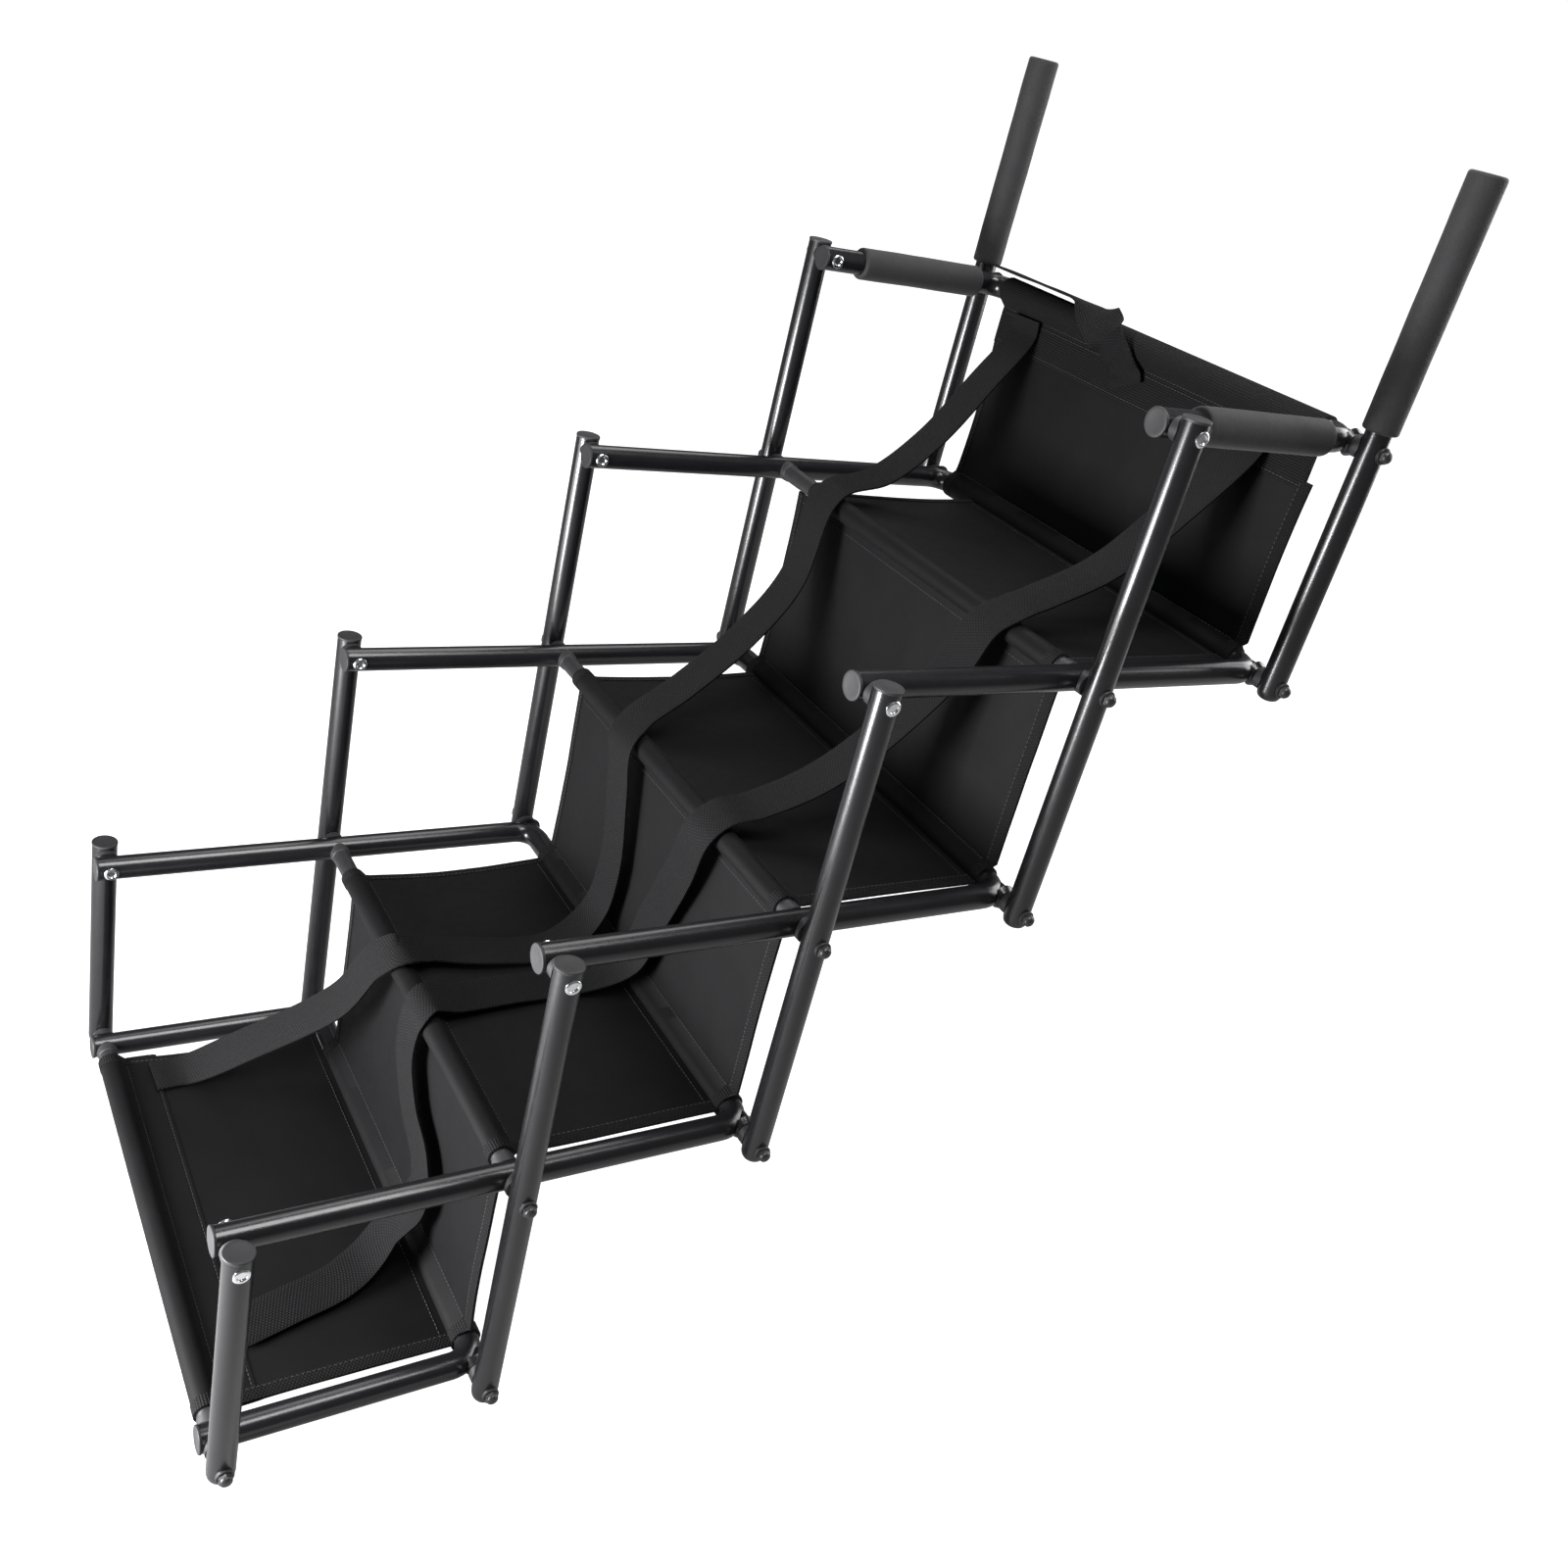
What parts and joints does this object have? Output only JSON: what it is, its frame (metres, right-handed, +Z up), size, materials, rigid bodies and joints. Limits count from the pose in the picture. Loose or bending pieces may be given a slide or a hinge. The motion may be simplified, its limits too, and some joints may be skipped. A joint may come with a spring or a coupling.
{
  "type": "folding pet stair",
  "caption": "Folding scissor-frame stair for a dog: fabric treads and risers stretched between pivoting tube frames, foam hand grips and webbing carrying straps.",
  "frame": {"origin": "centre of the bounding box's base, on the floor", "axes": "+X from the lowest tread up the stair to the top, +Y to the left of a climber, +Z up"},
  "size_m": [0.6323, 0.412, 0.777],
  "materials": {
    "frame_paint": "satin black powder coat",
    "cross_rod": "satin black",
    "black_bolt": "black oxide",
    "rivet_steel": "bright plated",
    "cap_plastic": "fine matte",
    "grip_foam": "matte closed-cell foam",
    "panel_fabric": "coated cloth",
    "webbing": "coarse woven webbing"
  },
  "bodies": {
    "base_frame": {"frame_0": "frame_paint", "cross_rod_0": "cross_rod", "tread_0": "panel_fabric", "carry_strap_l": "webbing", "carry_strap_r": "webbing"},
    "tread_frame_1": {"frame_1": "frame_paint", "cross_rod_1": "cross_rod", "tread_1": "panel_fabric"},
    "tread_frame_2": {"frame_2": "frame_paint", "cross_rod_2": "cross_rod", "tread_2": "panel_fabric"},
    "tread_frame_3": {"frame_3": "frame_paint", "cross_rod_3": "cross_rod", "tread_3": "panel_fabric"},
    "top_frame": {"frame_4": "frame_paint", "rail_foam_l": "grip_foam", "rail_foam_r": "grip_foam"},
    "posts_0": {"post_0_l": "frame_paint", "post_0_r": "frame_paint", "post_cap_0_l": "cap_plastic", "post_cap_0_r": "cap_plastic", "rivet_0_l": "rivet_steel", "rivet_0_r": "rivet_steel"},
    "posts_1": {"post_1_l": "frame_paint", "post_1_r": "frame_paint", "post_cap_1_l": "cap_plastic", "post_cap_1_r": "cap_plastic", "rivet_1_l": "rivet_steel", "rivet_1_r": "rivet_steel", "foot_bolt_1_l": "black_bolt", "foot_bolt_1_r": "black_bolt", "riser_1": "panel_fabric"},
    "posts_2": {"post_2_l": "frame_paint", "post_2_r": "frame_paint", "post_cap_2_l": "cap_plastic", "post_cap_2_r": "cap_plastic", "rivet_2_l": "rivet_steel", "rivet_2_r": "rivet_steel", "foot_bolt_2_l": "black_bolt", "foot_bolt_2_r": "black_bolt", "riser_2": "panel_fabric"},
    "posts_3": {"post_3_l": "frame_paint", "post_3_r": "frame_paint", "post_cap_3_l": "cap_plastic", "post_cap_3_r": "cap_plastic", "rivet_3_l": "rivet_steel", "rivet_3_r": "rivet_steel", "foot_bolt_3_l": "black_bolt", "foot_bolt_3_r": "black_bolt", "riser_3": "panel_fabric"},
    "posts_4": {"post_4_l": "frame_paint", "post_4_r": "frame_paint", "foot_bolt_4_l": "black_bolt", "foot_bolt_4_r": "black_bolt", "top_bolt_l": "black_bolt", "top_bolt_r": "black_bolt", "post_foam_l": "grip_foam", "post_foam_r": "grip_foam", "riser_4": "panel_fabric", "closing_strap": "webbing"}
  },
  "joints": [
    {"name": "fold", "type": "hinge", "parent": "base_frame", "child": "posts_1", "pos_m": [-0.1539, 0, 0.01], "axis": [0, -1, 0], "range_deg": [0, 80], "deforming": ["carry_strap_l", "carry_strap_r", "closing_strap", "rail_foam_l", "rail_foam_r"]},
    {"name": "posts_0_swing", "type": "hinge", "parent": "base_frame", "child": "posts_0", "pos_m": [-0.3069, 0, 0.01], "axis": [0, -1, 0], "range_deg": [0, 80]},
    {"name": "frame_1_swing", "type": "hinge", "parent": "posts_1", "child": "tread_frame_1", "pos_m": [-0.1539, 0, 0.163], "axis": [0, -1, 0], "range_deg": [-80, 0]},
    {"name": "posts_2_swing", "type": "hinge", "parent": "tread_frame_1", "child": "posts_2", "pos_m": [-0.0009, 0, 0.163], "axis": [0, -1, 0], "range_deg": [0, 80]},
    {"name": "frame_2_swing", "type": "hinge", "parent": "posts_2", "child": "tread_frame_2", "pos_m": [-0.0009, 0, 0.316], "axis": [0, -1, 0], "range_deg": [-80, 0]},
    {"name": "posts_3_swing", "type": "hinge", "parent": "tread_frame_2", "child": "posts_3", "pos_m": [0.1521, 0, 0.316], "axis": [0, -1, 0], "range_deg": [0, 80]},
    {"name": "frame_3_swing", "type": "hinge", "parent": "posts_3", "child": "tread_frame_3", "pos_m": [0.1521, 0, 0.469], "axis": [0, -1, 0], "range_deg": [-80, 0]},
    {"name": "posts_4_swing", "type": "hinge", "parent": "tread_frame_3", "child": "posts_4", "pos_m": [0.3051, 0, 0.469], "axis": [0, -1, 0], "range_deg": [0, 80]},
    {"name": "frame_4_swing", "type": "hinge", "parent": "posts_4", "child": "top_frame", "pos_m": [0.3051, 0, 0.622], "axis": [0, -1, 0], "range_deg": [-80, 0]}
  ],
  "couplings": [
    {"joint": "posts_0_swing", "follows": "fold", "ratio": 1},
    {"joint": "frame_1_swing", "follows": "fold", "ratio": -1},
    {"joint": "posts_2_swing", "follows": "fold", "ratio": 1},
    {"joint": "frame_2_swing", "follows": "fold", "ratio": -1},
    {"joint": "posts_3_swing", "follows": "fold", "ratio": 1},
    {"joint": "frame_3_swing", "follows": "fold", "ratio": -1},
    {"joint": "posts_4_swing", "follows": "fold", "ratio": 1},
    {"joint": "frame_4_swing", "follows": "fold", "ratio": -1}
  ]
}
